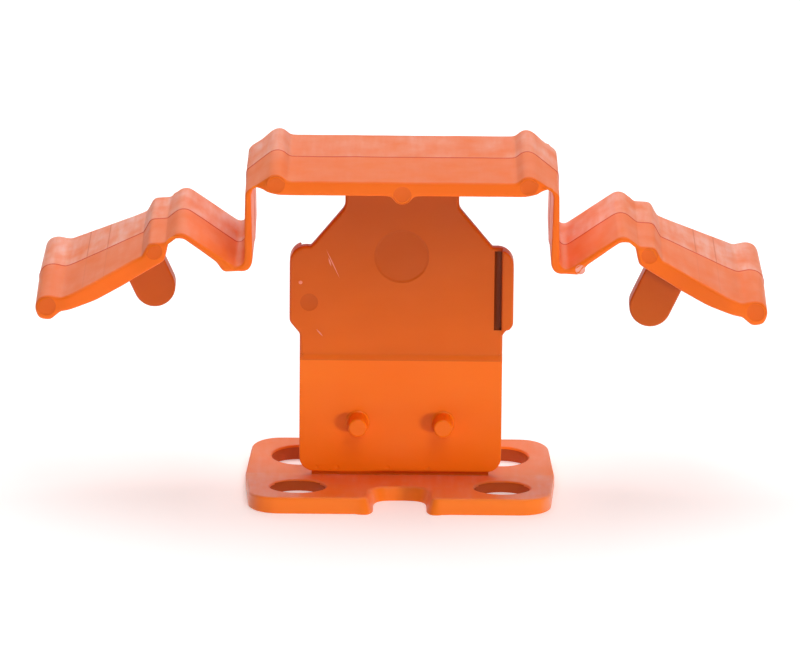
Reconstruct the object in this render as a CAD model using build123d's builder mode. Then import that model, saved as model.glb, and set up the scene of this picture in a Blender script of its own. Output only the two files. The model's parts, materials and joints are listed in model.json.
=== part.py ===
from build123d import *
import os

# A tile levelling clip, injection moulded in one shot.  Its foot goes under two neighbouring
# tiles, its thin stem stands in the joint between them, and two sprung wings fold down about
# living hinges until their press ridges stand on the tiles.  Millimetres, +Z up, origin at the
# middle of the foot's underside.  X runs along the wings, Y through the depth of the clip.
# The clip looks the same after half a turn about Z, so each side is drawn once, in a plane
# whose first axis points outwards from the middle and whose normal is that side's own front.

# ---------------------------------------------------------------- driving dimensions

base_half_width = 19.75        # at the middle plane
base_corner_half_width = 18.95 # at the front and back edges, before rounding
base_half_depth = 13.4
base_edge_thickness = 2.15
base_root_thickness = 1.30     # the top is dished to a valley under the stem
base_corner_radius = 3.8
hole_radius = 3.55
hole_spacing_x = 25.9
hole_spacing_y = 13.9
notch_width = 7.7
notch_depth = 6.4
notch_corner_radius = 2.3

web_half_width = 11.3          # the strip that snaps when the top is knocked off
web_thickness = 0.6
web_top = 1.75

stem_half_width = 12.88
stem_thickness = 1.1
stem_corner_radius = 1.9
step_height = 17.1             # the stem is thin below this line and thick above it

peg_radius = 1.27
peg_reach = 2.9
peg_spacing = 10.86
peg_height = 8.35
peg_edge_radius = 0.2

plate_thickness = 1.6
plate_shoulder_bottom = 20.0
plate_shoulder_rise = 1.6
plate_half_width = 14.2
plate_top = 31.85
plate_corner_radius = 2.1
plate_dip_half_width = 11.5
plate_dip = 31.5
neck_half_width = 7.2
neck_bottom = 36.7
date_circle_radius = 3.5
date_circle_height = 30.3
date_circle_recess = 0.15

rib_width = 1.5
rib_reach = 2.0                # how far its outer face stands from the middle plane
rib_bottom = 20.95

bridge_half_width = 16.9
bridge_half_depth = 12.05
bridge_bottom = 40.85
bridge_top = 43.1
recess_bottom = 41.2           # the underside rises towards the hinge, to clear the folded leg
recess_half_width = 15.5
bead_radius = 1.5
bridge_bead_offset = 15.75
bridge_bead_height = 42.5
bead_slope_start = (16.75, 43.62) # where the bead's round meets the slope down to the hinge
centre_bead_height = 41.2
hinge_top = 43.5               # top of the hinge film where it leaves the bridge

wing_half_depth = 11.35        # leg, foot bend, spring arch and knee
press_half_depth = 14.35       # the press panel flares out to this
flare_start = 33.6
flare_end = 41.2

film_end = 40.9                # the hinge film ends and the leg starts at this height
leg_end = 33.0                 # the leg ends and the foot bend starts at this height
leg_limit = 20.8               # the leg's section reaches this far out, short of the arch
bend_end = 22.0                # outward distances of the other divisions
toe_end = 23.4
knee_end = 32.7
panel_end = 42.7

tongue_inner = 2.3             # gap from the middle plane, so that it clears the edge rib
tongue_thickness = 2.9
tongue_radius = 2.67
tongue_tip = (31.4, 25.2)      # centre of the round end
tongue_tilt = 25.0             # degrees from upright, square to the press panel
tongue_length = 6.6            # from the centre of the round end into the panel

# Limits for the cutting shapes: longer, higher and lower than any part of a side.
reach = 60
above_side = 50
below_side = 20
above_wing = 39
below_arch = 30

# The side profile: outward distance, height, corner radius.
# It runs along the top from the bridge to the press ridge, and back along the underside.
side_outline = [
    (bridge_half_width, hinge_top, 0),
    (19.74, 41.24, 0.8),       # outer elbow of the living hinge
    (19.87, 31.15, 0.8),       # valley between the leg and the spring arch
    (27.70, 36.55, 1.6),       # peak of the spring arch
    (29.75, 34.85, 0.6),
    (31.85, 34.85, 0.55),      # shoulder of the knee ridge
    (32.60, 33.10, 0.6),
    (40.80, 29.20, 3.0),
    (42.75, 28.40, 1.5),
    (44.00, 28.95, 1.2),       # press ridge
    (45.50, 28.50, 1.0),
    (46.15, 27.00, 1.2),
    (45.50, 25.30, 0.8),
    (43.80, 25.05, 0.7),
    (42.50, 26.20, 0.6),
    (41.60, 26.35, 2.0),
    (38.20, 27.35, 9.0),       # the underside swells a little
    (34.60, 29.05, 6.0),
    (29.50, 32.15, 0.4),       # inner corner of the knee
    (28.95, 34.90, 0.8),
    (27.45, 34.98, 1.0),
    (23.25, 31.95, 0.5),       # where the toe meets the arch
    (22.50, 30.68, 0.7),       # toe
    (18.50, 30.92, 1.7),       # round heel of the foot bend
    (18.78, 40.85, 0.6),
    (18.42, 41.78, 0.2),       # inner corner of the film
    (17.45, 41.50, 0.3),
    (bridge_half_width, recess_bottom, 0),
]

# Where the side profile is divided into its working sections, as corners of each section.
# The arch meets the knee on a slanting line through the wall.
knee_bottom = (26.8, below_arch)
knee_top = (32.2, above_wing)
sections = {
    "hinge_film": [
        (bridge_half_width, film_end),
        (bend_end, film_end),
        (bend_end, above_side),
        (bridge_half_width, above_side),
    ],
    "spring_leg": [
        (bridge_half_width, leg_end),
        (leg_limit, leg_end),
        (leg_limit, film_end),
        (bridge_half_width, film_end),
    ],
    "foot_bend": [
        (bridge_half_width, below_side),
        (bend_end, below_side),
        (bend_end, leg_end),
        (bridge_half_width, leg_end),
    ],
    "foot_toe": [
        (bend_end, below_side),
        (toe_end, below_side),
        (toe_end, film_end),
        (bend_end, film_end),
    ],
    "spring_arch": [
        (toe_end, below_arch),
        knee_bottom,
        knee_top,
        (toe_end, above_wing),
    ],
    "knee_ridge": [
        knee_bottom,
        (knee_end, below_arch),
        (knee_end, above_wing),
        knee_top,
    ],
    "press_panel": [
        (knee_end, below_side),
        (panel_end, below_side),
        (panel_end, above_wing),
        (knee_end, above_wing),
    ],
    "press_ridge": [
        (panel_end, below_side),
        (reach, below_side),
        (reach, above_wing),
        (panel_end, above_wing),
    ],
}

side_planes = {
    "right": Plane(origin=(0, 0, 0), x_dir=(1, 0, 0), z_dir=(0, -1, 0)),
    "left": Plane(origin=(0, 0, 0), x_dir=(-1, 0, 0), z_dir=(0, 1, 0)),
}
plan_planes = {
    "right": Plane(origin=(0, 0, 0), x_dir=(1, 0, 0), z_dir=(0, 0, 1)),
    "left": Plane(origin=(0, 0, 0), x_dir=(-1, 0, 0), z_dir=(0, 0, 1)),
}
os.makedirs("parts", exist_ok=True)


def keep(part, name):
    part.label = name
    export_step(part, f"parts/{name}.step")


def polygon_prism(plane, corners, half_length, mode):
    """Extrude a straight-sided outline both ways from its plane into the part being built."""
    with BuildSketch(plane) as outline:
        with BuildLine():
            Polyline(*corners, close=True)
        make_face()
    extrude(outline.sketch, amount=half_length, both=True, mode=mode)


# ---------------------------------------------------------------- foot under the tiles

with BuildPart() as base_plate:
    with BuildSketch():
        with BuildLine():
            Polyline(
                (-base_corner_half_width, -base_half_depth),
                (base_corner_half_width, -base_half_depth),
                (base_half_width, 0),
                (base_corner_half_width, base_half_depth),
                (-base_corner_half_width, base_half_depth),
                (-base_half_width, 0),
                close=True,
            )
        base_face = make_face()
        corners = base_face.vertices().group_by(Axis.Y)
        fillet(corners[0] + corners[-1], base_corner_radius)
        with GridLocations(hole_spacing_x, hole_spacing_y, 2, 2):
            Circle(hole_radius, mode=Mode.SUBTRACT)
        with GridLocations(0, 2 * base_half_depth, 1, 2):
            RectangleRounded(notch_width, 2 * notch_depth, notch_corner_radius, mode=Mode.SUBTRACT)
    extrude(amount=2 * base_edge_thickness)
    valley = [
        (-base_half_depth - 1, 0),
        (base_half_depth + 1, 0),
        (base_half_depth + 1, base_edge_thickness),
        (base_half_depth, base_edge_thickness),
        (0, base_root_thickness),
        (-base_half_depth, base_edge_thickness),
        (-base_half_depth - 1, base_edge_thickness),
    ]
    polygon_prism(Plane.YZ, valley, reach, Mode.INTERSECT)
keep(base_plate.part, "base_plate")

# ---------------------------------------------------------------- stem in the joint

with BuildPart() as break_off_web:
    with BuildSketch():
        Rectangle(2 * web_half_width, web_thickness)
    extrude(amount=web_top)
    add(base_plate.part, mode=Mode.SUBTRACT)
    with BuildSketch():
        Rectangle(reach, reach)
    extrude(amount=base_root_thickness, mode=Mode.SUBTRACT)
keep(break_off_web.part, "break_off_web")

with BuildPart() as stem_blade:
    with BuildSketch(Plane.XZ):
        with Locations((0, web_top)):
            Rectangle(2 * stem_half_width, step_height - web_top, align=(Align.CENTER, Align.MIN))
        fillet(vertices().group_by(Axis.Y)[0], stem_corner_radius)
    extrude(amount=stem_thickness / 2, both=True)
keep(stem_blade.part, "stem_blade")

for face_name, face_side in (("front", -1), ("back", 1)):
    for hand_name, hand_side in (("left", -1), ("right", 1)):
        peg_foot = (hand_side * peg_spacing / 2, face_side * stem_thickness / 2, peg_height)
        with BuildPart() as spacer_peg:
            with BuildSketch(Plane(origin=peg_foot, x_dir=(1, 0, 0), z_dir=(0, face_side, 0))):
                Circle(peg_radius)
            extrude(amount=peg_reach)
            outer_face = faces().sort_by(Axis.Y)[0 if face_side < 0 else -1]
            fillet(outer_face.edges(), peg_edge_radius)
        keep(spacer_peg.part, f"{face_name}_{hand_name}_spacer_peg")

plate_half_outline = [
    (0, step_height, 0),
    (stem_half_width, step_height, 0),
    (stem_half_width, plate_shoulder_bottom, 0.4),
    (plate_half_width, plate_shoulder_bottom + plate_shoulder_rise, 0.8),
    (plate_half_width, plate_top, plate_corner_radius),
    (plate_dip_half_width, plate_dip, 0.3),
    (neck_half_width, neck_bottom, 1.2),
    (neck_half_width, bridge_bottom, 0),
    (0, bridge_bottom, 0),
]


def rounded_face(outline):
    """Make a face from corners given as distance across, height and corner radius."""
    with BuildLine() as edge:
        FilletPolyline(
            *[(across, height) for across, height, radius in outline],
            radius=[radius for across, height, radius in outline],
            close=True,
        )
    return make_face(edge.edges())


with BuildPart() as upper_plate:
    with BuildSketch(Plane.XZ):
        rounded_face(plate_half_outline)
        mirror(about=Plane.YZ)
    extrude(amount=plate_thickness / 2, both=True)
    for face_side in (-1, 1):
        circle_foot = (0, face_side * plate_thickness / 2, date_circle_height)
        with BuildSketch(Plane(origin=circle_foot, x_dir=(1, 0, 0), z_dir=(0, face_side, 0))):
            Circle(date_circle_radius)
        extrude(amount=-date_circle_recess, mode=Mode.SUBTRACT)
keep(upper_plate.part, "upper_plate")

for side, side_plane in side_planes.items():
    with BuildPart() as edge_rib:
        with BuildSketch(side_plane.offset(plate_thickness / 2)):
            rounded_face(plate_half_outline)
            with Locations((plate_half_width, rib_bottom)):
                Rectangle(
                    2 * rib_width,
                    plate_top - rib_bottom,
                    align=(Align.CENTER, Align.MIN),
                    mode=Mode.INTERSECT,
                )
        extrude(amount=rib_reach - plate_thickness / 2)
    keep(edge_rib.part, f"{side}_edge_rib")

# ---------------------------------------------------------------- bridge

with BuildPart() as bridge_bar:
    with BuildSketch(Plane.XZ):
        with BuildLine():
            Polyline(
                (-bridge_half_width, bridge_top),
                (bridge_half_width, bridge_top),
                (bridge_half_width, recess_bottom),
                (recess_half_width, bridge_bottom),
                (-recess_half_width, bridge_bottom),
                (-bridge_half_width, recess_bottom),
                close=True,
            )
        make_face()
    extrude(amount=bridge_half_depth, both=True)
keep(bridge_bar.part, "bridge_bar")

with BuildPart() as bridge_centre_bead:
    with BuildSketch(Plane.XZ):
        with Locations((0, centre_bead_height)):
            Circle(bead_radius)
    extrude(amount=bridge_half_depth, both=True)
    add(bridge_bar.part, mode=Mode.SUBTRACT)
    add(upper_plate.part, mode=Mode.SUBTRACT)
keep(bridge_centre_bead.part, "bridge_centre_bead")

# ---------------------------------------------------------------- the two sprung sides

for side, side_plane in side_planes.items():

    with BuildPart() as bridge_bead:
        with BuildSketch(side_plane):
            with Locations((bridge_bead_offset, bridge_bead_height)):
                Circle(bead_radius)
            with BuildLine() as slope:
                Polyline(
                    (bridge_bead_offset, bridge_top),
                    (bridge_half_width, bridge_top),
                    (bridge_half_width, hinge_top),
                    bead_slope_start,
                    close=True,
                )
            make_face(slope.edges())
            with Locations((bridge_half_width, bridge_top)):
                Rectangle(
                    4 * bead_radius,
                    2 * bead_radius,
                    align=(Align.MAX, Align.MIN),
                    mode=Mode.INTERSECT,
                )
        extrude(amount=bridge_half_depth, both=True)
    keep(bridge_bead.part, f"{side}_bridge_bead")

    with BuildPart() as moulding:
        with BuildSketch(side_plane):
            rounded_face(side_outline)
        extrude(amount=press_half_depth, both=True)
        plan = [
            (bridge_half_width - 1, bridge_half_depth),
            (bridge_half_width, bridge_half_depth),
            (bridge_half_width + 1.2, wing_half_depth),
            (flare_start, wing_half_depth),
            (flare_end, press_half_depth),
            (reach, press_half_depth),
        ]
        plan_outline = plan + [(across, -depth) for across, depth in reversed(plan)]
        polygon_prism(plan_planes[side], plan_outline, reach, Mode.INTERSECT)

    for section_name, corners in sections.items():
        with BuildPart() as section:
            add(moulding.part)
            polygon_prism(side_plane, corners, reach, Mode.INTERSECT)
        keep(section.part, f"{side}_{section_name}")

    with BuildPart() as locking_tongue:
        with BuildSketch(side_plane.offset(tongue_inner)):
            with Locations(tongue_tip):
                Circle(tongue_radius)
            with Locations(Location((*tongue_tip, 0), (0, 0, -tongue_tilt))):
                Rectangle(2 * tongue_radius, tongue_length, align=(Align.CENTER, Align.MIN))
        extrude(amount=tongue_thickness)
        add(moulding.part, mode=Mode.SUBTRACT)
    keep(locking_tongue.part, f"{side}_locking_tongue")
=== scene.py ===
import json
import math

import bpy
import numpy as np
from mathutils import Matrix, Vector, noise
from mathutils.geometry import delaunay_2d_cdt


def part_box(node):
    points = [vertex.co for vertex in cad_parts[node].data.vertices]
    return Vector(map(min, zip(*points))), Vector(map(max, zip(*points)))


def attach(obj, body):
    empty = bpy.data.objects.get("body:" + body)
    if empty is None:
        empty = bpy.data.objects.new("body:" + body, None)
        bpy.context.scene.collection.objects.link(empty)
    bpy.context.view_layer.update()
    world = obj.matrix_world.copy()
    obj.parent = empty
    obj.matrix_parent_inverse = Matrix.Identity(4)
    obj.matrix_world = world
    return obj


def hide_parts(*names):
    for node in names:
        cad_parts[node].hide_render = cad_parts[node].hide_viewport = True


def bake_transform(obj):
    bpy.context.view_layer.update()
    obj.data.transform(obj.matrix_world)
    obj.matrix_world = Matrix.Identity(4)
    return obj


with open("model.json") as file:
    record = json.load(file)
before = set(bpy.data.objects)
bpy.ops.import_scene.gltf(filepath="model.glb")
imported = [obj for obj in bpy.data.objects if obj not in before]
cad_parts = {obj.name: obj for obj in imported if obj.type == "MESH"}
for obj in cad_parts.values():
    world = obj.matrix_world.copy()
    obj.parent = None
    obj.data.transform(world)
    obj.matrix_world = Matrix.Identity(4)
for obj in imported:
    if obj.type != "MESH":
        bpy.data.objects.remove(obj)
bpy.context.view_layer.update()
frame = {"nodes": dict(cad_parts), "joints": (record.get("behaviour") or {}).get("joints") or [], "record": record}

# The looks of a moulded tile levelling clip.  The upper moulding (bridge, hinges, legs and wings) is
# built as one continuous skin with draft, a parting line, rounded edges and ejector marks, and then
# cut along the CAD nodes' borders, so that no seam shows; each piece moves with its own body, but
# the pieces of the hinge films and foot bends are left in place, tied to no body.
# Lengths are in millimetres until a mesh is made.  X runs along the wings, Y through the depth.

MM = 0.001
X, Y, Z = 0, 1, 2
SIDES = {"right": 1, "left": -1}

# ---------------------------------------------------------------- dimensions that CAD leaves out

EDGE = 0.42               # rounding of the moulding's front and back edges
EDGE_STEPS = 4
NEAR_ROWS = (-0.5, -0.12, -0.03, 0.04, 0.12, 0.5)    # rows of points beside the parting line
FAR_ROWS = (0.25, 0.5, 0.75)    # and the shares of the way from those to each rounded edge
DRAFT = math.tan(math.radians(0.7))
STEP = 0.05               # the two halves of the mould miss each other by this much
STEP_WIDTH = 0.15
FLASH = 0.05              # height of the thin ridge along the parting line
FLASH_WIDTH = 0.06
WAVE = 0.16               # how far the parting line wanders
FLARE_START = 33.6        # the press panel widens between these distances from the middle
FLARE_END = 41.2
FLARE_SOFTNESS = 1.2
WITNESS = (37.3, 39.9)    # faint lines across the back half of each press panel
WITNESS_WIDTH = 0.1       # from the middle of such a line to its side
STEM_EDGE = 0.14
STEM_SWELL = (-0.6, 0.45)    # the blade thickens from below to above its border with the plate
PLATE_EDGE = 0.4
BASE_EDGE = 0.32
PAD_DEPTH = 0.05          # ejector marks are sunk by this much
GROOVE_SIDES = (-0.05, 0.95)    # the groove beside each edge rib, from the side of the rib
GROOVE_HEIGHTS = (20.7, 31.1)
GROOVE_DEPTH = 0.4
BURR_HEIGHT = 0.03        # scratches stand out of the plate by this much
BURR_ROOT = 0.005         # and their sides reach this far into it

# How far before and after its joint each bend starts and ends: along X and along Z for a hinge
# film, along X for a foot bend.
FILM_BEND = (0.47, 0.61)
FOOT_BEND = (0.7, 1.4)

# Finishes, in the order of the list FINISHES below.
UPPER, UPPER_MARK, PLATE, PLATE_MARK, STEM, FOOT, TONGUE_IN_SHADE, SCRATCH, PALE_SPOT, GROOVE_IN_SHADE, BORE_IN_SHADE, SEAM = range(12)


# ---------------------------------------------------------------- outlines read from the frame

def millimetres(vector):
    return np.array(vector) / MM


def cut(node, axis, place):
    """Edges where a plane square to one axis cuts a CAD node, each with the solid on its left."""
    mesh = frame["nodes"][node].data
    mesh.calc_loop_triangles()
    points = millimetres([vertex.co for vertex in mesh.vertices])
    flat = [other for other in (X, Y, Z) if other != axis]
    edges = []
    for triangle in mesh.loop_triangles:
        corners = points[list(triangle.vertices)]
        height = corners[:, axis] - place
        above = height > 0
        if above.all() or not above.any():
            continue
        crossing = []
        for a, b in ((0, 1), (1, 2), (2, 0)):
            if above[a] != above[b]:
                share = height[a] / (height[a] - height[b])
                crossing.append((corners[a] + (corners[b] - corners[a]) * share)[flat])
        normal = np.cross(corners[1] - corners[0], corners[2] - corners[0])[flat]
        start, end = crossing
        along = end - start
        if along[1] * normal[0] - along[0] * normal[1] < 0:
            start, end = end, start
        edges.append((start, end))
    return edges


def merged(points, tolerance=0.0008):
    """Gives points that lie together one number: the points kept, and the number of each point."""
    kept, numbers, cells = [], [], {}
    for point in points:
        column, row = (math.floor(value / tolerance) for value in point)
        near = [
            number
            for across in (-1, 0, 1)
            for up in (-1, 0, 1)
            for number in cells.get((column + across, row + up), ())
            if np.hypot(*(kept[number] - point)) < tolerance
        ]
        if not near:
            near = [len(kept)]
            kept.append(point)
            cells.setdefault((column, row), []).append(near[0])
        numbers.append(near[0])
    return np.array(kept), numbers


def stops_between(points, a, b, tolerance=0.002):
    """Numbers of the points that lie on the edge from a to b, in order, both ends included."""
    along = points[b] - points[a]
    length = np.hypot(*along)
    relative = points - points[a]
    share = relative @ along / length**2
    off = np.abs(relative[:, 0] * along[1] - relative[:, 1] * along[0]) / length
    inner = np.flatnonzero((off < tolerance) & (share > 0.001) & (share < 0.999))
    return [a, *inner[np.argsort(share[inner])], b]


def turns(points):
    """Turn at each point of a closed outline, in radians, positive to the left."""
    ahead = np.roll(points, -1, axis=0) - points
    behind = points - np.roll(points, 1, axis=0)
    cross = behind[:, 0] * ahead[:, 1] - behind[:, 1] * ahead[:, 0]
    return np.arctan2(cross, (behind * ahead).sum(axis=1))


def outlines(nodes, axis, place):
    """Closed outlines of touching CAD nodes where a plane cuts them, with the node of each edge."""
    cuts = [(start, end, node) for node in nodes for start, end in cut(node, axis, place)]
    points, numbers = merged([point for start, end, node in cuts for point in (start, end)])
    owner = {}
    for index, (start, end, node) in enumerate(cuts):
        a, b = numbers[2 * index], numbers[2 * index + 1]
        if a != b:
            stops = stops_between(points, a, b)
            owner.update({edge: node for edge in zip(stops, stops[1:])})
    following = {a: (b, node) for (a, b), node in owner.items() if (b, a) not in owner}
    found = []
    while following:
        number = next(iter(following))
        loop, names = [], []
        while number in following:
            loop.append(points[number])
            number, name = following.pop(number)
            names.append(name)
        loop = np.array(loop)
        border = np.array([names[i - 1] != names[i] for i in range(len(names))])
        keep = np.flatnonzero(border | (np.abs(turns(loop)) > math.radians(0.4)))
        found.append((loop[keep], [names[i] for i in keep]))
    return found


def smoothed(points, names, size, spacing):
    """Softens an outline and spaces its points for its curvature.

    size(places, names) gives how far the softening reaches at each place, and spacing is the
    longest step between the points that are kept.
    """
    step = 0.12
    ahead = np.roll(points, -1, axis=0) - points
    fine, fine_names = [], []
    for point, along, name in zip(points, ahead, names):
        count = max(1, round(math.hypot(along[0], along[1]) / step))
        fine += [point + along * share / count for share in range(count)]
        fine_names += [name] * count
    fine = np.array(fine)
    sizes = size(fine, fine_names)
    passes = math.ceil(sizes.max()**2 / (0.5 * step**2))
    strength = 0.5 * (sizes / sizes.max())**2
    for _ in range(passes):
        middle = (np.roll(fine, 1, axis=0) + np.roll(fine, -1, axis=0)) / 2
        fine += strength[:, None] * (middle - fine)

    kept, turned, travelled = [], 0, 0
    turn = np.abs(turns(fine))
    for i, point in enumerate(fine):
        travelled += np.linalg.norm(point - fine[i - 1])
        turned += turn[i]
        if fine_names[i] != fine_names[i - 1] or turned > math.radians(5) or travelled > spacing:
            kept.append(i)
            turned = travelled = 0
    return fine[kept], [fine_names[i] for i in kept]


def inside(places, loops):
    """Which places lie inside closed outlines, counting how often a ray from each crosses them."""
    places = np.asarray(places)
    count = np.zeros(len(places), int)
    for points in loops:
        ends = np.roll(points, -1, axis=0)
        for (x0, y0), (x1, y1) in zip(points, ends):
            if y0 != y1:
                spans = (places[:, 1] > y0) != (places[:, 1] > y1)
                crossing = x0 + (places[:, 1] - y0) * (x1 - x0) / (y1 - y0)
                count += spans & (places[:, 0] < crossing)
    return count % 2 == 1


def owner_finder(nodes, axis, place):
    """A function that names the node whose outline holds each place, or the nearest one."""
    shapes = {node: [points for points, _ in outlines([node], axis, place)] for node in nodes}

    def owner(places):
        places = np.asarray(places)
        gap = np.array([
            np.min([
                np.hypot(*(places[:, None] - points[None]).transpose(2, 0, 1)).min(axis=1)
                for points in loops
            ], axis=0) - 100 * inside(places, loops)
            for loops in shapes.values()
        ])
        names = list(shapes)
        return [names[i] for i in gap.argmin(axis=0)]

    return owner


# ---------------------------------------------------------------- skins

class Skin:
    """Points and faces of a continuous surface, with the CAD node and finish of each face."""

    def __init__(self, finish):
        self.finish = finish
        self.points = []
        self.faces = []
        self.nodes = []
        self.finishes = []

    def add_points(self, points):
        """Adds points and gives their numbers."""
        first = len(self.points)
        self.points.extend(np.asarray(points, float))
        return list(range(first, len(self.points)))

    def add_face(self, corners, node, finish=None):
        self.faces.append(tuple(corners))
        self.nodes.append(node)
        self.finishes.append(self.finish if finish is None else finish)

    def point_normals(self):
        """Normals averaged by area, so that broad faces stay flat and only their edges turn."""
        points = np.array(self.points)
        normals = np.zeros_like(points)
        for face in self.faces:
            corners = points[list(face)]
            middle = corners.mean(axis=0)
            spokes = corners - middle
            area = np.cross(spokes, np.roll(spokes, -1, axis=0)).sum(axis=0)
            for number in face:
                normals[number] += area
        normals /= np.linalg.norm(normals, axis=1, keepdims=True) + 1e-12
        return normals


def lifted(places, heights, axis):
    """Flat places and their heights along the axis, as points in space."""
    return np.insert(np.asarray(places, float), axis, heights, axis=1)


def outward(points):
    """Outward direction at each point of an outline, long enough to shift both its edges by 1."""
    ahead = np.roll(points, -1, axis=0) - points
    ahead /= np.hypot(*ahead.T)[:, None]
    right = np.stack([ahead[:, 1], -ahead[:, 0]], axis=1)
    before = np.roll(right, 1, axis=0)
    return (right + before) / np.maximum(1 + (right * before).sum(axis=1), 0.4)[:, None]


def circle(radius, count):
    angles = np.linspace(0, 2 * math.pi, count, endpoint=False)
    return radius * np.stack([np.cos(angles), np.sin(angles)], axis=1)


def sink_mark(skin, mark, axis, facing, height, owner, turned):
    """Adds the walls and the floor of a mark, and gives the places and the numbers of its rim."""
    profile, finish = mark
    loops = []
    for ring, depth in profile:
        surface = height(ring) - facing * depth
        loops.append((ring, skin.add_points(lifted(ring, surface, axis))))
    for (outer, outer_numbers), (inner, inner_numbers) in zip(loops, loops[1:]):
        names = owner((outer + inner) / 2)
        for i, name in enumerate(names):
            j = (i + 1) % len(outer)
            face = [outer_numbers[i], outer_numbers[j]]
            face += [inner_numbers[j], inner_numbers[i]] if len(inner) > 1 else inner_numbers
            skin.add_face(face[::-1] if turned else face, name, finish)
    return loops[0]


def fill_end(skin, rings, axis, facing, height, owner, marks=(), lines=()):
    """Closes one end of a moulding, with marks sunk into it.

    A ring is (places, numbers).  A mark is ([(ring, depth), ...], finish) and ends in one point.
    A line is a list of places that lie on the end, and shows as a fold where the height has one.
    """
    turned = facing * (-1 if axis == Y else 1) < 0
    places, numbers, borders, holes = [], [], [], []

    def add_border(line, line_numbers, closed):
        first, count = len(numbers), len(line_numbers)
        places.extend(line)
        numbers.extend(line_numbers)
        borders.extend((first + i, first + i + 1) for i in range(count - 1))
        if closed:
            borders.append((first + count - 1, first))

    for ring, ring_numbers in rings:
        add_border(ring, ring_numbers, closed=True)
    for mark in marks:
        rim, rim_numbers = sink_mark(skin, mark, axis, facing, height, owner, turned)
        holes.append(rim)
        add_border(rim, rim_numbers, closed=True)
    for line in lines:
        line = np.array(line, float)
        add_border(line, skin.add_points(lifted(line, height(line), axis)), closed=False)

    flat = [Vector(place) for place in places]
    found, _, triangles, sources, _, _ = delaunay_2d_cdt(flat, borders, [], 0, 1e-6)
    for i, source in enumerate(sources):
        if not source:
            place = np.array([found[i]])
            sources[i] = [len(numbers)]
            numbers.extend(skin.add_points(lifted(place, height(place), axis)))
    corners = np.array([[list(found[i]) for i in triangle] for triangle in triangles])
    middles = corners.mean(axis=1)
    keep = inside(middles, [ring for ring, _ in rings]) & ~inside(middles, holes)
    names = owner(middles[keep])
    for triangle, name in zip(np.array(triangles)[keep], names):
        face = [numbers[sources[i][0]] for i in triangle]
        skin.add_face(face[::-1] if turned else face, name)


def mould(skin, loops, axis, low, high, owner, edges=(EDGE, EDGE), rows=None, thinning=None,
          low_marks=(), high_marks=(), lines=(), seam=()):
    """Extrudes outlines along an axis into a skin with rounded ends.

    low and high give the heights of the two ends at flat places, and edges the rounding of each.
    rows gives the heights of more rows of points between them, and thinning how far the wall moves
    outwards at each height.  Marks and lines are as for fill_end, and seam gives the numbers of
    the rows of faces on the parting line.
    """
    end_rings = ([], [])
    for points, names in loops:
        normals = outward(points)
        bottom, top = low(points), high(points)
        angles = np.linspace(0, math.pi / 2, EDGE_STEPS + 1)
        low_edge, high_edge = (edge(points) if callable(edge) else edge for edge in edges)
        heights = [bottom + low_edge * (1 - math.cos(angle)) for angle in angles]
        offsets = [-low_edge * (1 - math.sin(angle)) for angle in angles]
        if rows:
            between = rows(points, bottom + low_edge, top - high_edge)
            heights += between
            offsets += [0] * len(between)
        heights += [top - high_edge * (1 - math.cos(angle)) for angle in reversed(angles)]
        offsets += [-high_edge * (1 - math.sin(angle)) for angle in reversed(angles)]
        layers = []
        for height, offset in zip(heights, offsets):
            if thinning:
                offset = offset + thinning(points, height)
            places = points + normals * np.reshape(offset, (-1, 1))
            layers.append((places, skin.add_points(lifted(places, height, axis))))
        count = len(points)
        for row, ((_, lower), (_, upper)) in enumerate(zip(layers, layers[1:])):
            finish = SEAM if row in seam else None
            for i in range(count):
                j = (i + 1) % count
                face = [lower[i], lower[j], upper[j], upper[i]]
                skin.add_face(face[::-1] if axis == Y else face, names[i], finish)
        end_rings[0].append(layers[0])
        end_rings[1].append(layers[-1])
    fill_end(skin, end_rings[0], axis, -1, low, owner, low_marks, lines)
    fill_end(skin, end_rings[1], axis, 1, high, owner, high_marks, lines)


def turned_peg(skin, node, foot, direction, profile, count=40):
    """A round pin along Y from (distance along it, radius) pairs."""
    rings = []
    for distance, radius in profile:
        if radius == 0:
            places = np.array([[0.0, 0.0]])
        else:
            places = circle(radius, count)
        points = lifted(places, direction * distance, Y) + foot
        rings.append(skin.add_points(points))
    for lower, upper in zip(rings, rings[1:]):
        for i in range(count):
            j = (i + 1) % count
            face = [lower[i], lower[j]] + ([upper[j], upper[i]] if len(upper) > 1 else upper)
            skin.add_face(face if direction < 0 else face[::-1], node)


def add_scratch(skin, node, start, end, width, surface):
    """A raised burr on a face that looks along -Y: thin at its ends, with two sloping sides."""
    start, end = np.array(start), np.array(end)
    along = (end - start) / np.hypot(*(end - start))
    across = np.array([-along[1], along[0]]) * width / 2
    rows = []
    for share in np.linspace(0, 1, 7):
        swelling = math.sin(math.pi * share)
        place = start + (end - start) * share
        places = [place - across * swelling, place, place + across * swelling]
        heights = [surface + BURR_ROOT, surface - BURR_HEIGHT * swelling, surface + BURR_ROOT]
        rows.append(skin.add_points(lifted(places, heights, Y)))
    for lower, upper in zip(rows, rows[1:]):
        for i in range(2):
            skin.add_face([lower[i], upper[i], upper[i + 1], lower[i + 1]], node, SCRATCH)


def swell(skin, node, facing, halves, heights, half_width, edge):
    """A soft step up from one thickness to another across one face of an upright plate.

    halves and heights give the half thickness and the height where the step starts and ends, and
    edge is the rounding of the thicker part's sides, which the step follows.
    """
    rows = []
    for share in np.linspace(0, 1, 9):
        points = []
        for across in np.linspace(-half_width, half_width, 80):
            inset = min(edge, half_width - abs(across))
            face = halves[1] - edge + math.sqrt(edge**2 - (edge - inset)**2)
            depth = halves[0] + (face - halves[0]) * share**2 * (3 - 2 * share)
            points.append((across, facing * depth, heights[0] + (heights[1] - heights[0]) * share))
        rows.append(skin.add_points(points))
    for lower, upper in zip(rows, rows[1:]):
        for i in range(len(lower) - 1):
            face = [lower[i], lower[i + 1], upper[i + 1], upper[i]]
            skin.add_face(face if facing < 0 else face[::-1], node)


# ---------------------------------------------------------------- materials

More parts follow.
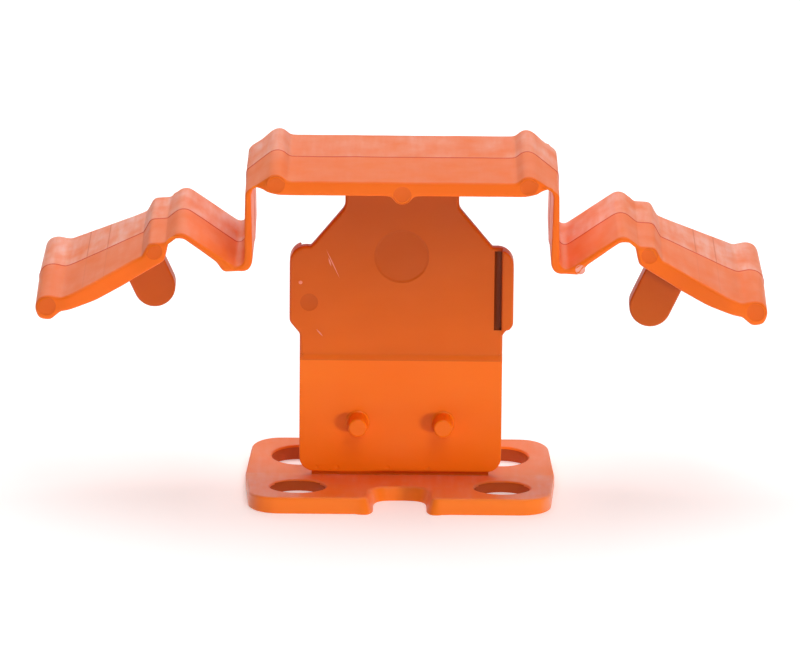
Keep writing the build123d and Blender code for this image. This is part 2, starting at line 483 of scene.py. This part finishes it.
PAINTED_SHADE_HEIGHTS = (19, 37)   # painted shade: the plate and the tongues are painted darker towards the bridge, which shades them
PAINTED_SHADE_COLOR = (0.30, 0.050, 0.001)
# pale skin behind the parting line: partly the moulding's own frost, partly painted sheen of the white backdrop on
# the tops
FROST_AND_SHEEN_COLOR = (0.94, 0.53, 0.45)
WITNESS_COLOR = (0.66, 0.11, 0.03)


class Graph:
    """The shader nodes of one material.  Each method adds to them and gives an output."""

    def __init__(self, material):
        material.use_nodes = True
        self.tree = material.node_tree
        self.shader = self.tree.nodes["Principled BSDF"]
        self.place = self.tree.nodes.new("ShaderNodeTexCoord")

    def clouds(self, scale, detail, stretch=(1, 1, 1)):
        mapping = self.tree.nodes.new("ShaderNodeMapping")
        mapping.inputs["Scale"].default_value = stretch
        self.tree.links.new(self.place.outputs["Object"], mapping.inputs["Vector"])
        texture = self.tree.nodes.new("ShaderNodeTexNoise")
        texture.inputs["Scale"].default_value = scale
        texture.inputs["Detail"].default_value = detail
        self.tree.links.new(mapping.outputs["Vector"], texture.inputs["Vector"])
        return texture.outputs["Fac"]

    def between(self, value, low, high, start, end):
        """Runs from the start to the end while the value runs from low to high."""
        node = self.tree.nodes.new("ShaderNodeMapRange")
        for socket, number in (
            ("From Min", low), ("From Max", high), ("To Min", start), ("To Max", end)
        ):
            node.inputs[socket].default_value = number
        self.tree.links.new(value, node.inputs["Value"])
        return node.outputs["Result"]

    def ramp(self, value, low, high):
        """Spreads the middle of a noise's range over low to high."""
        return self.between(value, 0.3, 0.7, low, high)

    def blend(self, factor, first, second):
        """Mixes two colours; each is a tuple or an output."""
        node = self.tree.nodes.new("ShaderNodeMix")
        node.data_type = "RGBA"
        for socket, value in (("A", first), ("B", second)):
            if isinstance(value, tuple):
                node.inputs[socket].default_value = (*value, 1)
            else:
                self.tree.links.new(value, node.inputs[socket])
        self.tree.links.new(factor, node.inputs["Factor"])
        return node.outputs["Result"]

    def product(self, first, second):
        node = self.tree.nodes.new("ShaderNodeMath")
        node.operation = "MULTIPLY"
        self.tree.links.new(first, node.inputs[0])
        self.tree.links.new(second, node.inputs[1])
        return node.outputs["Value"]

    def magnitude(self, value):
        node = self.tree.nodes.new("ShaderNodeMath")
        node.operation = "ABSOLUTE"
        self.tree.links.new(value, node.inputs[0])
        return node.outputs["Value"]

    def parts(self, vector):
        """The X, Y and Z of an output of the texture coordinates."""
        node = self.tree.nodes.new("ShaderNodeSeparateXYZ")
        self.tree.links.new(self.place.outputs[vector], node.inputs["Vector"])
        return node.outputs

    def bump(self, height, strength, distance, normal=None):
        node = self.tree.nodes.new("ShaderNodeBump")
        node.inputs["Strength"].default_value = strength
        node.inputs["Distance"].default_value = distance
        self.tree.links.new(height, node.inputs["Height"])
        if normal:
            self.tree.links.new(normal, node.inputs["Normal"])
        return node.outputs["Normal"]


def frost_and_sheen_color(graph, fresh, frost_and_sheen, front):
    """The colour with a pale skin over its back half, partly the moulding's own frost and partly painted sheen
    from the white backdrop on the tops, and with the faint lines across the press panels.
    """
    place = graph.parts("Object")
    across = graph.magnitude(place["X"])
    # The pale goes only on faces that do not look along Y: on the tops it is painted sheen, a grazing reflection
    # of the white backdrop.
    facing = graph.magnitude(graph.parts("Normal")["Y"])
    rim = graph.between(facing, 0.3, 0.8, 1.0, 0.0)
    behind = graph.product(
        graph.between(place["Y"], -0.2 * MM, 0.3 * MM, front * frost_and_sheen, frost_and_sheen), rim
    )
    wing = graph.between(across, 13 * MM, 18 * MM, 0.45, 1.0)
    mottle = graph.ramp(graph.clouds(330, 5, (1, 0.5, 1)), 0.15, 1.0)
    streaks = graph.ramp(graph.clouds(900, 3, (1.4, 0.12, 0.8)), 0.5, 1.0)
    cover = graph.product(graph.product(behind, wing), graph.product(mottle, streaks))
    color = graph.blend(cover, fresh, FROST_AND_SHEEN_COLOR)
    for line in WITNESS:
        rise = graph.between(across, (line - WITNESS_WIDTH) * MM, line * MM, 0.0, 1.0)
        fall = graph.between(across, line * MM, (line + WITNESS_WIDTH) * MM, 1.0, 0.0)
        cover = graph.product(graph.product(rise, fall), behind)
        color = graph.blend(cover, color, WITNESS_COLOR)
    return color


def plastic(name, color, pale, roughness, frost_and_sheen=0.0, front=0.12, painted_shade=0.0):
    """Orange polypropylene: clouded colour, flow marks, and a satin skin with fine orange peel.

    frost_and_sheen is how pale the moulding's rim is behind the parting line, partly its own frost and partly
    painted sheen, front is the share of that which its front half has, and painted_shade is how dark the painted
    shade makes the colour towards the bridge.
    """
    material = bpy.data.materials.new(name)
    graph = Graph(material)
    shader = graph.shader
    shader.inputs["IOR"].default_value = 1.37
    shader.inputs["Subsurface Weight"].default_value = 0.12
    shader.inputs["Subsurface Radius"].default_value = (1.0, 0.25, 0.04)
    shader.inputs["Subsurface Scale"].default_value = 0.0012

    # Colour: broad clouds, and faint flow marks drawn out along the wings.
    broad = graph.ramp(graph.clouds(90, 3), 0.2, 1.0)
    flow = graph.ramp(graph.clouds(420, 2, (0.25, 1, 1)), 0.5, 1.0)
    clean = graph.blend(graph.product(broad, flow), color, pale)
    # Painted shade: the colour darkens with height towards the bridge, standing in for the bridge's shadow.
    low, high = PAINTED_SHADE_HEIGHTS
    painted_shade_share = graph.between(graph.parts("Object")["Z"], low * MM, high * MM, 0.0, painted_shade)
    fresh = graph.blend(painted_shade_share, clean, PAINTED_SHADE_COLOR)
    skin_color = frost_and_sheen_color(graph, fresh, frost_and_sheen, front)
    graph.tree.links.new(skin_color, shader.inputs["Base Color"])

    # Roughness: patches that the mould polished more or less.
    patches = graph.ramp(graph.clouds(260, 4), roughness - 0.05, roughness + 0.07)
    graph.tree.links.new(patches, shader.inputs["Roughness"])

    # Relief: soft orange peel with a finer tooth on top.
    peel = graph.bump(graph.clouds(900, 2), strength=0.25, distance=0.00004)
    tooth = graph.bump(graph.clouds(6000, 2), strength=0.1, distance=0.00002, normal=peel)
    graph.tree.links.new(tooth, shader.inputs["Normal"])
    return material


FINISHES = [
    # The upper moulding's pale rim is partly frost and partly painted sheen.
    plastic("orange_upper_moulding", (0.86, 0.134, 0.002), (0.89, 0.158, 0.005), roughness=0.47,
            frost_and_sheen=0.85, front=0.27),
    plastic("orange_ejector_mark", (0.74, 0.110, 0.004), (0.79, 0.128, 0.006), roughness=0.40),
    # The upper plate is darker than the stem partly in its own tone and partly as painted shade, for the bridge
    # over it.
    plastic("orange_upper_plate_tone_and_painted_shade", (0.68, 0.112, 0.001), (0.74, 0.128, 0.002), roughness=0.40,
            painted_shade=0.65),
    plastic("orange_date_circle", (0.56, 0.088, 0.001), (0.61, 0.099, 0.002), roughness=0.42,
            painted_shade=0.58),
    plastic("orange_stem", (0.91, 0.158, 0.002), (0.93, 0.182, 0.004), roughness=0.36),
    # The foot's pale top, stronger at the front, is partly frost and partly painted sheen, making up for the lost
    # floor light there.
    plastic("orange_foot", (0.92, 0.185, 0.010), (0.94, 0.215, 0.018), roughness=0.36,
            frost_and_sheen=0.42, front=1.9),
    # The tongue's dark colour is painted shade: it sits under the press panel, out of the light.
    plastic("orange_tongue_painted_shade", (0.56, 0.096, 0.002), (0.62, 0.110, 0.003), roughness=0.42,
            painted_shade=0.7),
    plastic("orange_scratch", (0.76, 0.230, 0.150), (0.82, 0.290, 0.210), roughness=0.45),
    # A small pale glossy spot.
    plastic("orange_pale_spot", (0.90, 0.250, 0.160), (0.95, 0.500, 0.420), roughness=0.22),
    # The groove's near-black brown is painted shade, the deep shadow inside it.
    plastic("orange_groove_painted_shade", (0.22, 0.038, 0.004), (0.26, 0.046, 0.005), roughness=0.50),
    # The bore walls are painted shade, for the dark inside the holes.
    plastic("orange_bore_painted_shade", (0.50, 0.080, 0.003), (0.58, 0.096, 0.005), roughness=0.45),
    plastic("orange_seam", (0.62, 0.060, 0.012), (0.70, 0.080, 0.018), roughness=0.42),
]


# ---------------------------------------------------------------- pieces

NODE_BODY = {
    node: body
    for body, nodes in frame["record"]["behaviour"]["bodies"].items()
    for node in nodes
}


def make_pieces(skin, bends=None):
    """Cuts a skin along the borders of its CAD nodes into pieces that replace them.

    bends gives (first body, second body, start, end) for the nodes that bend across a joint; only which nodes it
    names is used: their pieces are left where they are and tied to no body.
    """
    points = np.array(skin.points)
    normals = skin.point_normals()
    for node in sorted(set(skin.nodes)):
        chosen = [i for i, name in enumerate(skin.nodes) if name == node]
        used = sorted({number for i in chosen for number in skin.faces[i]})
        new_number = {number: i for i, number in enumerate(used)}
        mesh = bpy.data.meshes.new(f"{node}_moulded")
        faces = [[new_number[number] for number in skin.faces[i]] for i in chosen]
        mesh.from_pydata([Vector(points[number] * MM) for number in used], [], faces)
        for finish in FINISHES:
            mesh.materials.append(finish)
        mesh.polygons.foreach_set("material_index", [skin.finishes[i] for i in chosen])
        mesh.polygons.foreach_set("use_smooth", [True] * len(chosen))
        mesh.normals_split_custom_set_from_vertices([Vector(normals[number]) for number in used])
        piece = bpy.data.objects.new(f"{node}_moulded", mesh)
        bpy.context.scene.collection.objects.link(piece)
        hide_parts(node)
        if bends and node in bends:
            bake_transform(piece)
        else:
            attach(piece, NODE_BODY[node])


def even(size):
    """The same softening everywhere, for smoothed."""
    return lambda places, names: np.full(len(places), size)


def level(height):
    """An end at the same height everywhere, for mould."""
    return lambda places: np.full(len(places), height)


def only(node):
    """One node as the owner of every place, for mould."""
    return lambda places: [node] * len(places)


def slab(node, finish, loops, ends, edges, **details):
    """The skin of one node with two flat ends square to Y.  The details are those of mould."""
    skin = Skin(finish)
    mould(
        skin, loops, Y, low=level(ends[0]), high=level(ends[1]), owner=only(node), edges=edges,
        **details,
    )
    return skin


def ripple(places, size, seed):
    """Smooth noise between about -1 and 1 at flat places, with features of that size."""
    return np.array([noise.noise(Vector((x / size, y / size, seed))) for x, y in places])


# ---------------------------------------------------------------- upper moulding

SIDE_SECTIONS = (
    "hinge_film", "spring_leg", "foot_bend", "foot_toe",
    "spring_arch", "knee_ridge", "press_panel", "press_ridge",
)
BRIDGE_NODES = ["bridge_bar", "bridge_centre_bead", "left_bridge_bead", "right_bridge_bead"]
UPPER_NODES = BRIDGE_NODES + [f"{side}_{name}" for side in SIDES for name in SIDE_SECTIONS]
FREE_DEPTH = -8.0         # a depth at which no tongue, rib or plate is in the way
joint_place = {joint["name"]: millimetres(joint["pos_m"]) for joint in frame["joints"]}

bridge_half_depth = millimetres(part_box("bridge_bar")[1])[Y]
bridge_half_width = millimetres(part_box("bridge_bar")[1])[X]
wing_half_depth = millimetres(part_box("right_spring_leg")[1])[Y]
press_half_depth = millimetres(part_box("right_press_ridge")[1])[Y]


def soft_slope(value, start, end, softness):
    """Runs from 0 at the start to 1 at the end, with its two corners rounded off."""
    samples = [
        np.clip((value + shift * softness - start) / (end - start), 0, 1)
        for shift in (-0.5, -0.25, 0, 0.25, 0.5)
    ]
    return np.mean(samples, axis=0)


def upper_half_depth(places):
    """Distance from the middle plane to the front or back face of the upper moulding."""
    across = np.abs(np.asarray(places)[:, 0])
    narrowing = soft_slope(across, bridge_half_width, bridge_half_width + 1.2, 0.2)
    flare = soft_slope(across, FLARE_START, FLARE_END, FLARE_SOFTNESS)
    depth = bridge_half_depth + (wing_half_depth - bridge_half_depth) * narrowing
    return depth + (press_half_depth - wing_half_depth) * flare


def parting_line(places):
    return WAVE * ripple(places, 3.0, 1.7) + 0.3 * WAVE * ripple(places, 0.7, 5.1)


def upper_rows(points, bottom, top):
    middle = parting_line(points)
    near = [middle + shift for shift in NEAR_ROWS]
    front = [bottom + (near[0] - bottom) * share for share in FAR_ROWS]
    back = [near[-1] + (top - near[-1]) * share for share in FAR_ROWS]
    return front + near + back


def seam_rows():
    """Numbers of the two rows of faces that the parting line runs through."""
    first = EDGE_STEPS + 1 + len(FAR_ROWS) + 1
    return (first, first + 1)


def near_leg(places, middle, reach):
    """1 at that distance from the middle of the clip, where the thin legs stand, falling to 0."""
    return np.clip(1 - np.abs(np.abs(places[:, 0]) - middle) / reach, 0, 1)


def upper_thinning(points, heights):
    """Draft away from the parting line, its ridge and step, and a slight unevenness."""
    distance = heights - parting_line(points)
    draft = -DRAFT * np.abs(distance)
    step = -STEP * np.clip(0.5 - distance / STEP_WIDTH, 0, 1)
    flash = FLASH * np.exp(-(distance / FLASH_WIDTH) ** 2)
    leg = near_leg(points, 19.2, 1.2)
    uneven = 0.02 * ripple(points + 0.3 * heights[:, None], 4.0, 9.3)
    return draft * (1 - leg) + step + flash + uneven


def upper_softness(places, names):
    """Rounding of the corners of the side view: large on the ridges and beads, small elsewhere."""
    rounded = ("bead", "press_ridge", "bridge_bar", "foot_toe")
    sizes = [
        0.6 if name.endswith("knee_ridge") else 0.42 if name.endswith(rounded) else 0.2
        for name in names
    ]
    return np.array(sizes)


def upper_edge(places):
    """Rounding of the front and back edges: worn and uneven, and less on the thin leg."""
    thin = near_leg(places, 18.9, 1.8)
    return (EDGE + 0.08 * ripple(places, 2.2, 3.3)) * (1 - 0.45 * thin)


def round_mark(centre, profile, finish):
    """A round mark from (radius, depth) pairs; the last radius is 0."""
    count = max(14, int(profile[0][0] * 16))
    rings = [
        (circle(radius, count if radius else 1) + np.array(centre), depth)
        for radius, depth in profile
    ]
    return (rings, finish)


def ejector_mark(centre, radius, finish=UPPER_MARK):
    profile = [
        (radius, 0), (radius - 0.07, 0.3 * PAD_DEPTH), (radius - 0.14, PAD_DEPTH), (0, PAD_DEPTH),
    ]
    return round_mark(centre, profile, finish)


def groove(low, high, depth, finish):
    """A straight-sided groove between two corners."""
    low, high = np.array(low, float), np.array(high, float)
    middle = (low + high) / 2
    corners = np.array([low, (high[0], low[1]), high, (low[0], high[1])])
    rings = []
    for inset, sunk in ((0, 0), (0.04, 0.05), (0.07, depth)):
        rings.append((corners + inset * np.sign(middle - corners), sunk))
    rings.append((middle[None], depth))
    return (rings, finish)


def upper_bends():
    """The nodes that bend: the two bodies each one joins, and where its bend starts and ends."""
    bends = {}
    for side, sign in SIDES.items():
        hinge = joint_place[f"{side}_wing_hinge"]
        before = hinge + np.array([-sign * FILM_BEND[0], 0, FILM_BEND[0]])
        after = hinge + np.array([sign * FILM_BEND[1], 0, -FILM_BEND[1]])
        bends[f"{side}_hinge_film"] = ("stem", f"{side}_leg", before * MM, after * MM)
        bend = joint_place[f"{side}_spring_bend"]
        before = bend - np.array([sign * FOOT_BEND[0], 0, 0])
        after = bend + np.array([sign * FOOT_BEND[1], 0, 0])
        bends[f"{side}_foot_bend"] = (f"{side}_leg", f"{side}_wing", before * MM, after * MM)
    return bends


def make_upper_moulding():
    skin = Skin(UPPER)
    loops = []
    for points, names in outlines(UPPER_NODES, Y, FREE_DEPTH):
        loops.append(smoothed(points, names, upper_softness, 0.45))
    bead = millimetres(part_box("right_bridge_bead")[0])[X]
    # A small pale glossy spot on the front of the right toe.
    pale_spot = round_mark((22.35, 31.65), [(0.62, 0), (0.5, 0.05), (0.2, 0.02), (0, 0.02)], PALE_SPOT)
    marks = [ejector_mark((0, 41.2), 1.15)]
    for sign in SIDES.values():
        marks.append(ejector_mark((sign * (bead + 1.4), 42.5), 1.15))
        marks.append(ejector_mark((sign * 31.0, 33.5), 1.05))
        marks.append(ejector_mark((sign * 44.35, 27.15), 1.2))
    mould(
        skin, loops, Y,
        low=lambda places: -upper_half_depth(places),
        high=upper_half_depth,
        owner=owner_finder(UPPER_NODES, Y, FREE_DEPTH),
        edges=(upper_edge, upper_edge), rows=upper_rows, thinning=upper_thinning,
        low_marks=[*marks, pale_spot], high_marks=marks, seam=seam_rows(),
    )
    make_pieces(skin, upper_bends())


# ---------------------------------------------------------------- tongues and ribs

def make_tongue(side):
    node = f"{side}_locking_tongue"
    low, high = (millimetres(corner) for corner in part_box(node))
    middle = (low[Y] + high[Y]) / 2
    (points, names), = outlines([node], Y, middle)
    loop = smoothed(points, names, even(0.2), 0.6)

    def thinning(places, heights):
        return -0.01 * np.abs(heights - middle)

    # The tongue is painted dark, as shade from the press panel over it.
    make_pieces(slab(node, TONGUE_IN_SHADE, [loop], (low[Y], high[Y]), (0.3, 0.3), thinning=thinning))


def make_rib(side):
    node = f"{side}_edge_rib"
    low, high = (millimetres(corner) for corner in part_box(node))
    outer = high[Y] if high[Y] > 1 else low[Y]
    (points, names), = outlines([node], Y, outer * 0.7)
    loop = smoothed(points, names, even(0.2), 0.8)
    root = 0.4 if outer > 0 else -0.4
    ends = sorted((root, outer))
    edges = (0.05, 0.28) if outer > 0 else (0.28, 0.05)
    make_pieces(slab(node, PLATE, [loop], ends, edges))


# ---------------------------------------------------------------- stem

def make_plate():
    node = "upper_plate"
    half = millimetres(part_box(node)[1])[Y]
    loops = []
    for points, names in outlines([node], Y, 0.1):
        loops.append(smoothed(points, names, even(0.2), 1.0))
    circle_profile = [(3.5, 0), (3.4, 0.02), (3.3, 0.07), (3.15, 0.09), (0, 0.09)]
    marks = {}
    for facing in (-1, 1):
        rib_low, rib_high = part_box("right_edge_rib" if facing < 0 else "left_edge_rib")
        rib_side = rib_low[X] / MM if facing < 0 else rib_high[X] / MM
        sides = sorted(rib_side + facing * shift for shift in GROOVE_SIDES)
        marks[facing] = [
            round_mark((0, 30.3), circle_profile, PLATE_MARK),
            ejector_mark((facing * 11.7, 24.2), 1.15, PLATE_MARK),
            round_mark((facing * 12.8, 26.8), [(0.24, 0), (0.16, -0.07), (0, -0.09)], SCRATCH),
            # The groove is painted in deep shade.
            groove(*zip(sides, GROOVE_HEIGHTS), GROOVE_DEPTH, GROOVE_IN_SHADE),
        ]
    skin = slab(
        node, PLATE, loops, (-half, half), (PLATE_EDGE, PLATE_EDGE),
        low_marks=marks[-1], high_marks=marks[1],
    )
    blade = millimetres(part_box("stem_blade")[1])
    heights = [blade[Z] + height for height in STEM_SWELL]
    for facing in (-1, 1):
        swell(skin, node, facing, (blade[Y], half), heights, blade[X], PLATE_EDGE)
    add_scratch(skin, node, (-9.6, 31.2), (-7.8, 27.3), 0.16, -half)
    add_scratch(skin, node, (-10.8, 20.7), (-9.9, 19.7), 0.20, -half)
    add_scratch(skin, node, (-9.3, 30.1), (-8.9, 28.9), 0.22, -half)
    make_pieces(skin)


def make_blade():
    node = "stem_blade"
    half = millimetres(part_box(node)[1])[Y]
    loops = []
    for points, names in outlines([node], Y, 0.1):
        top = points[:, 1].max()
        points[points[:, 1] > top - 0.01, 1] += 0.4    # hides the top end in the thicker plate
        loops.append(smoothed(points, names, even(0.2), 1.0))
    dimples = [
        round_mark((place, 2.35), [(0.3, 0), (0.22, 0.05), (0, 0.08)], STEM)
        for place in (-10.6, -8.0, -1.5, 3.5)
    ]
    make_pieces(slab(
        node, STEM, loops, (-half, half), (STEM_EDGE, STEM_EDGE),
        low_marks=dimples, high_marks=dimples,
    ))


def make_web():
    node = "break_off_web"
    low, high = (millimetres(corner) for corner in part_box(node))
    points = np.array([
        (low[X], low[Z] - 0.3), (high[X], low[Z] - 0.3),
        (high[X], high[Z] + 0.3), (low[X], high[Z] + 0.3),
    ])
    loop = smoothed(points, [node] * 4, even(0.1), 1.5)
    make_pieces(slab(node, STEM, [loop], (-high[Y], high[Y]), (0.04, 0.04)))


def make_peg(node):
    low, high = (millimetres(corner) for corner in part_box(node))
    direction = 1 if high[Y] > 1 else -1
    foot_depth = min(abs(low[Y]), abs(high[Y]))
    reach = max(abs(low[Y]), abs(high[Y])) - foot_depth
    radius = (high[X] - low[X]) / 2
    foot = np.array([(low[X] + high[X]) / 2, direction * foot_depth, (low[Z] + high[Z]) / 2])
    root, end = 0.28, 0.3
    profile = [(-0.2, radius + root)]
    for angle in np.linspace(0, math.pi / 2, 6):
        profile.append((root * (1 - math.cos(angle)), radius + root * (1 - math.sin(angle))))
    slim = radius - 0.05
    for angle in np.linspace(0, math.pi / 2, 6):
        place = reach - end * (1 - math.sin(angle))
        profile.append((place, slim - end * (1 - math.cos(angle))))
    profile.append((reach - 0.02, slim * 0.4))
    profile.append((reach - 0.03, 0))
    skin = Skin(STEM)
    turned_peg(skin, node, foot, direction, profile)
    make_pieces(skin)


# ---------------------------------------------------------------- foot

bore_pattern = frame["record"]["mounts"][1]["dims"]
BORE_PLACE = (bore_pattern["spacing_x_mm"] / 2, bore_pattern["spacing_y_mm"] / 2)
BORE_RADIUS = bore_pattern["hole_r_mm"] + 0.1
BORE_SHADE_TOP = 1.35           # the walls of the bores are painted in shade below this height


def make_base():
    node = "base_plate"
    low, high = (millimetres(corner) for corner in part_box(node))
    valley_edges = np.array(cut(node, X, 10.0)).reshape(-1, 2)
    near_middle = valley_edges[np.abs(valley_edges[:, 0]) < 0.01]
    root_thickness = near_middle[:, 1].max()

    def top(places):
        share = np.abs(np.asarray(places)[:, 1]) / high[Y]
        return root_thickness + (high[Z] - root_thickness) * share

    def in_notch(places):
        """1 on the walls of the two notches, falling to 0 just outside their mouths."""
        across = np.clip((5.6 - np.abs(places[:, 0])) / 1.2, 0, 1)
        return across * np.clip((np.abs(places[:, 1]) - 6.0) / 0.5, 0, 1)

    def softness(places, names):
        return 0.25 + 0.75 * in_notch(places)

    def thinning(places, heights):
        """The notch walls lean in towards the bottom, the outer walls hardly at all."""
        drop = (top(places) - heights) / root_thickness
        return in_notch(places) * (0.45 * drop - 0.15)

    loops = []
    for points, names in outlines([node], Z, 0.6):
        loops.append(smoothed(points, names, softness, 1.0))
    inset = BASE_EDGE + 0.05
    valley = [(x, 0.0) for x in np.linspace(low[X] + inset, high[X] - inset, 25)]
    skin = Skin(FOOT)
    mould(
        skin, loops, Z,
        low=level(0.0),
        high=top,
        owner=only(node),
        edges=(0.12, BASE_EDGE), thinning=thinning, lines=[valley],
    )
    # Paints shade on the walls inside the bores.
    for i, face in enumerate(skin.faces):
        x, y, z = np.mean([skin.points[number] for number in face], axis=0)
        near_bore = math.hypot(abs(x) - BORE_PLACE[0], abs(y) - BORE_PLACE[1]) < BORE_RADIUS
        if near_bore and z < BORE_SHADE_TOP:
            skin.finishes[i] = BORE_IN_SHADE
    make_pieces(skin)


# ---------------------------------------------------------------- stage

def make_camera():
    """The viewpoint: square on to the front, a little above, from far away."""
    target = Vector((0, 0, 0.022))
    elevation = math.radians(15.6)
    roll = math.radians(0.489)
    distance = 0.925
    camera = bpy.data.objects.new("camera", bpy.data.cameras.new("camera"))
    bpy.context.scene.collection.objects.link(camera)
    camera.location = target + distance * Vector((0, -math.cos(elevation), math.sin(elevation)))
    look = (target - camera.location).to_track_quat("-Z", "Y")
    camera.rotation_mode = "QUATERNION"
    camera.rotation_quaternion = look @ Matrix.Rotation(roll, 3, "Z").to_quaternion()
    camera.data.lens = 327.8
    camera.data.sensor_width = 36
    camera.data.shift_x = -0.0016
    camera.data.shift_y = -0.0112
    camera.data.clip_start = 0.01
    camera.data.clip_end = 20
    bpy.context.scene.camera = camera


def add_softbox(name, place, aim, size, power, glossy=True):
    light = bpy.data.lights.new(name, "AREA")
    light.shape = "RECTANGLE"
    light.size, light.size_y = size
    light.energy = power
    box = bpy.data.objects.new(name, light)
    bpy.context.scene.collection.objects.link(box)
    box.location = place
    box.rotation_mode = "QUATERNION"
    box.rotation_quaternion = (Vector(aim) - Vector(place)).to_track_quat("-Z", "Y")
    box.visible_camera = False
    box.visible_glossy = glossy


def make_floor():
    """White paper that glows a little, so that it stays white and the shadows faint."""
    mesh = bpy.data.meshes.new("floor")
    half = 3.0
    mesh.from_pydata([(-half, -half, 0), (half, -half, 0), (half, half, 0), (-half, half, 0)],
                     [], [(0, 1, 2, 3)])
    floor = bpy.data.objects.new("floor", mesh)
    bpy.context.scene.collection.objects.link(floor)
    paper = bpy.data.materials.new("white_paper")
    paper.use_nodes = True
    shader = paper.node_tree.nodes["Principled BSDF"]
    shader.inputs["Base Color"].default_value = (0.93, 0.93, 0.93, 1)
    shader.inputs["Roughness"].default_value = 0.9
    shader.inputs["Specular IOR Level"].default_value = 0.2
    shader.inputs["Emission Color"].default_value = (1, 1, 1, 1)
    shader.inputs["Emission Strength"].default_value = 0.28
    mesh.materials.append(paper)


def make_lights():
    world = bpy.data.worlds.new("studio")
    world.use_nodes = True
    background = world.node_tree.nodes["Background"]
    background.inputs["Color"].default_value = (1, 1, 1, 1)
    background.inputs["Strength"].default_value = 0.05
    bpy.context.scene.world = world

    aim = (0, 0, 0.025)
    add_softbox("key", (0.38, -0.585, 0.011), aim, (0.12, 0.018), 1.7, glossy=False)
    add_softbox("front_top", (0.137, -0.448, 0.50), aim, (0.22, 0.45), 1.25)
    add_softbox("top", (0.0, 0.15, 0.60), (0.0, 0.06, 0.0), (0.9, 0.6), 3.6)
    add_softbox("back", (0.0, 0.55, 0.4), (0.0, 0.2, 0.0), (0.9, 0.3), 1.0)
    add_softbox("horizon", (0.0, 1.2, 0.3), aim, (2.4, 0.5), 1.6)


bpy.context.scene.view_settings.view_transform = "Standard"
make_camera()
make_upper_moulding()
for side in SIDES:
    make_tongue(side)
    make_rib(side)
make_plate()
make_blade()
make_web()
for face in ("front", "back"):
    for side in SIDES:
        make_peg(f"{face}_{side}_spacer_peg")
make_base()
make_floor()
make_lights()
